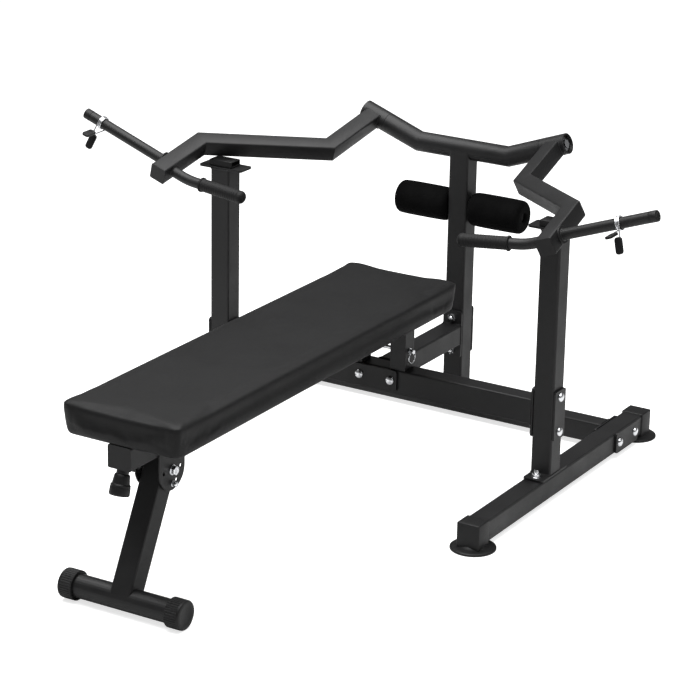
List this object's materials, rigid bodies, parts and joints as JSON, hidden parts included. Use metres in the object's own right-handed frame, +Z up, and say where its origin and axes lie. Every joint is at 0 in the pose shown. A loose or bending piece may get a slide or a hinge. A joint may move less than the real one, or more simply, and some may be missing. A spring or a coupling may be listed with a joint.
{
  "type": "adjustable weight bench",
  "caption": "Flat weight bench with a folding front leg and a bolted frame whose swinging lever arms carry weight pegs and press handles.",
  "frame": {"origin": "centre of the footprint box on the floor", "axes": "+X across the bench to its right-hand side seen from the folding leg, +Y from the folding leg to the mast, +Z up"},
  "size_m": [1.4718, 1.5729, 0.7608],
  "materials": {
    "black_powder_coat": "satin black powder coat",
    "black_plastic": "moulded, fine grain",
    "black_rubber": "matt rubber",
    "black_foam": "closed-cell foam, matt",
    "charcoal_vinyl": "grained imitation leather over foam",
    "plywood": "raw board under the pad",
    "zinc_plate": "bright zinc plate",
    "bush_bronze": "sintered bush, inside the arm sleeve"
  },
  "bodies": {
    "frame": {"base_rail_left": "black_powder_coat", "base_rail_right": "black_powder_coat", "foot_cap_front_left": "black_plastic", "foot_cap_front_right": "black_plastic", "foot_cap_rear_left": "black_plastic", "foot_cap_rear_right": "black_plastic", "rear_cross_tube": "black_powder_coat", "rear_joint_plate_left": "black_powder_coat", "rear_joint_plate_right": "black_powder_coat", "side_post_left": "black_powder_coat", "side_post_right": "black_powder_coat", "arm_bumper_left": "black_rubber", "arm_bumper_right": "black_rubber", "post_joint_plate_left": "black_powder_coat", "post_joint_plate_right": "black_powder_coat", "main_cross_tube": "black_powder_coat", "spine_tube": "black_powder_coat", "spine_joint_plate": "black_powder_coat", "mast_joint_plate": "black_powder_coat", "mast": "black_powder_coat", "yoke": "black_powder_coat", "roller_bar": "black_powder_coat", "bench_pad": "charcoal_vinyl", "pad_board": "plywood", "bench_tube": "black_powder_coat", "bench_tube_plug": "black_plastic", "rear_saddle": "black_powder_coat", "leg_bracket_left": "black_powder_coat", "leg_bracket_right": "black_powder_coat", "leg_pivot_bolt": "zinc_plate", "knob_housing": "black_powder_coat", "pivot_bolt_left": "zinc_plate", "pivot_bolt_right": "zinc_plate"},
    "arm_left": {"lever_arm_left": "black_powder_coat", "arm_end_plug_left": "black_plastic", "pivot_bush_left": "bush_bronze", "weight_peg_left": "black_powder_coat", "peg_cap_left": "black_plastic", "handle_bar_left": "black_powder_coat", "hand_grip_left": "black_rubber"},
    "roller_left": {"foam_roller_left": "black_foam"},
    "clip_left": {"spring_clip_left": "zinc_plate"},
    "clip_lever_left": {"clip_lever_left": "zinc_plate"},
    "arm_right": {"lever_arm_right": "black_powder_coat", "arm_end_plug_right": "black_plastic", "pivot_bush_right": "bush_bronze", "weight_peg_right": "black_powder_coat", "peg_cap_right": "black_plastic", "handle_bar_right": "black_powder_coat", "hand_grip_right": "black_rubber"},
    "roller_right": {"foam_roller_right": "black_foam"},
    "clip_right": {"spring_clip_right": "zinc_plate"},
    "clip_lever_right": {"clip_lever_right": "zinc_plate"},
    "pull_knob": {"pull_knob": "black_plastic"},
    "lock_pin": {"leg_lock_pin": "zinc_plate"},
    "hitch_pin": {"hitch_pin": "zinc_plate"},
    "hitch_ring": {"hitch_ring": "zinc_plate"},
    "front_leg": {"front_leg": "black_powder_coat", "leg_foot_cap_left": "black_plastic", "leg_foot_cap_right": "black_plastic"}
  },
  "joints": [
    {"name": "arm_swing_left", "type": "hinge", "parent": "frame", "child": "arm_left", "pos_m": [-0.12, 0.627, 0.666], "axis": [-0.9397, 0, 0.342], "range_deg": [0, 65]},
    {"name": "roller_spin_left", "type": "hinge", "parent": "frame", "child": "roller_left", "pos_m": [0, 0.627, 0.524], "axis": [1, 0, 0], "continuous": true},
    {"name": "clip_slide_left", "type": "slide", "parent": "arm_left", "child": "clip_left", "axis": [-0.9397, 0, 0.342], "range_m": [-0.163, 0.063]},
    {"name": "clip_squeeze_left", "type": "hinge", "parent": "clip_left", "child": "clip_lever_left", "pos_m": [-0.68443, 0.12789, 0.7321], "axis": [0.9397, 0, -0.342], "range_deg": [0, 7], "stiffness_Nm_per_rad": 0.6, "springref_deg": -3.44},
    {"name": "arm_swing_right", "type": "hinge", "parent": "frame", "child": "arm_right", "pos_m": [0.12, 0.627, 0.666], "axis": [-0.9397, 0, -0.342], "range_deg": [0, 65]},
    {"name": "roller_spin_right", "type": "hinge", "parent": "frame", "child": "roller_right", "pos_m": [0, 0.627, 0.524], "axis": [1, 0, 0], "continuous": true},
    {"name": "clip_slide_right", "type": "slide", "parent": "arm_right", "child": "clip_right", "axis": [0.9397, 0, 0.342], "range_m": [-0.122, 0.104]},
    {"name": "clip_squeeze_right", "type": "hinge", "parent": "clip_right", "child": "clip_lever_right", "pos_m": [0.64591, 0.12789, 0.71807], "axis": [0.9397, 0, 0.342], "range_deg": [0, 7], "stiffness_Nm_per_rad": 0.6, "springref_deg": -3.44},
    {"name": "knob_pull", "type": "slide", "parent": "frame", "child": "pull_knob", "axis": [0, -0.2924, -0.9563], "range_m": [0, 0.009], "stiffness_N_per_m": 900, "springref_m": -0.006},
    {"name": "lock_pin_pull", "type": "slide", "parent": "frame", "child": "lock_pin", "axis": [1, 0, 0], "range_m": [0, 0.008], "stiffness_N_per_m": 500, "springref_m": -0.004},
    {"name": "hitch_pin_slide", "type": "slide", "parent": "frame", "child": "hitch_pin", "axis": [1, 0, 0], "range_m": [0, 0.165]},
    {"name": "hitch_ring_swing", "type": "hinge", "parent": "hitch_pin", "child": "hitch_ring", "pos_m": [0.0828, 0.2575, 0.2825], "axis": [0, -1, 0], "range_deg": [-4, 80]},
    {"name": "leg_fold", "type": "hinge", "parent": "frame", "child": "front_leg", "pos_m": [0, -0.627, 0.279], "axis": [1, 0, 0], "range_deg": [0, 115]}
  ]
}
